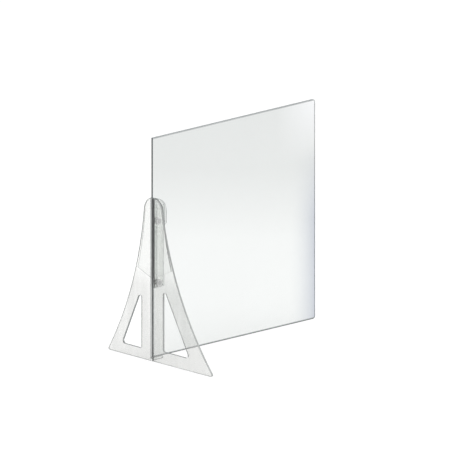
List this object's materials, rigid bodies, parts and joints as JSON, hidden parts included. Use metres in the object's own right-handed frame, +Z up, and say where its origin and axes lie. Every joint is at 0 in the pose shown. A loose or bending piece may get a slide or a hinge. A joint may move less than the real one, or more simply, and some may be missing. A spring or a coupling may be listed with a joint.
{
  "type": "sneeze guard",
  "caption": "Free-standing clear sneeze guard: an upright sheet clamped along one edge by a two-winged foot with thumb knobs.",
  "frame": {"origin": "on the table, under the middle of the foot: the centre of the tie block's tongue, between the two wings", "axes": "+X runs along the sheet away from the foot, -Y is the front side with the thumb knobs, +Z is up"},
  "size_m": [0.606, 0.4072, 0.624],
  "materials": {
    "clear_sheet": "clear cast acrylic sheet with polished edges",
    "clear_foot": "clear cast acrylic, fine rub marks, polished edges",
    "clear_clamp": "clear cast acrylic, bonded to the foot",
    "clear_pad": "clear silicone",
    "white_nylon": "natural nylon",
    "frosted_knob": "translucent moulded plastic",
    "stainless_steel": "turned stainless steel"
  },
  "bodies": {
    "root": {"guard_panel": "clear_sheet", "front_wing": "clear_foot", "rear_wing": "clear_foot", "front_gusset": "clear_foot", "rear_gusset": "clear_foot", "front_leaf": "clear_clamp", "rear_leaf": "clear_clamp", "front_gasket": "clear_pad", "rear_gasket": "clear_pad", "tie_block": "clear_clamp", "tie_pad": "clear_pad", "upper_stud": "stainless_steel", "upper_sleeve": "white_nylon", "upper_rear_washer": "stainless_steel", "upper_cap_nut": "stainless_steel", "lower_stud": "stainless_steel", "lower_sleeve": "white_nylon", "lower_rear_washer": "stainless_steel", "lower_cap_nut": "stainless_steel"},
    "upper_washer_body": {"upper_washer": "white_nylon"},
    "upper_knob_body": {"upper_knob": "frosted_knob", "upper_knob_insert": "stainless_steel"},
    "lower_washer_body": {"lower_washer": "white_nylon"},
    "lower_knob_body": {"lower_knob": "frosted_knob", "lower_knob_insert": "stainless_steel"}
  },
  "joints": [
    {"name": "upper_knob_advance", "type": "slide", "parent": "root", "child": "upper_washer_body", "axis": [0, -1, 0], "range_m": [0, 0.002]},
    {"name": "upper_knob_turn", "type": "hinge", "parent": "upper_washer_body", "child": "upper_knob_body", "pos_m": [0.0168, -0.008, 0.391], "axis": [0, -1, 0], "range_deg": [0, 720]},
    {"name": "lower_knob_advance", "type": "slide", "parent": "root", "child": "lower_washer_body", "axis": [0, -1, 0], "range_m": [0, 0.002]},
    {"name": "lower_knob_turn", "type": "hinge", "parent": "lower_washer_body", "child": "lower_knob_body", "pos_m": [0.0168, -0.008, 0.218], "axis": [0, -1, 0], "range_deg": [0, 720]}
  ],
  "couplings": [
    {"joint": "upper_knob_advance", "follows": "upper_knob_turn", "m_per_rad": 0.00015915},
    {"joint": "lower_knob_advance", "follows": "lower_knob_turn", "m_per_rad": 0.00015915}
  ]
}
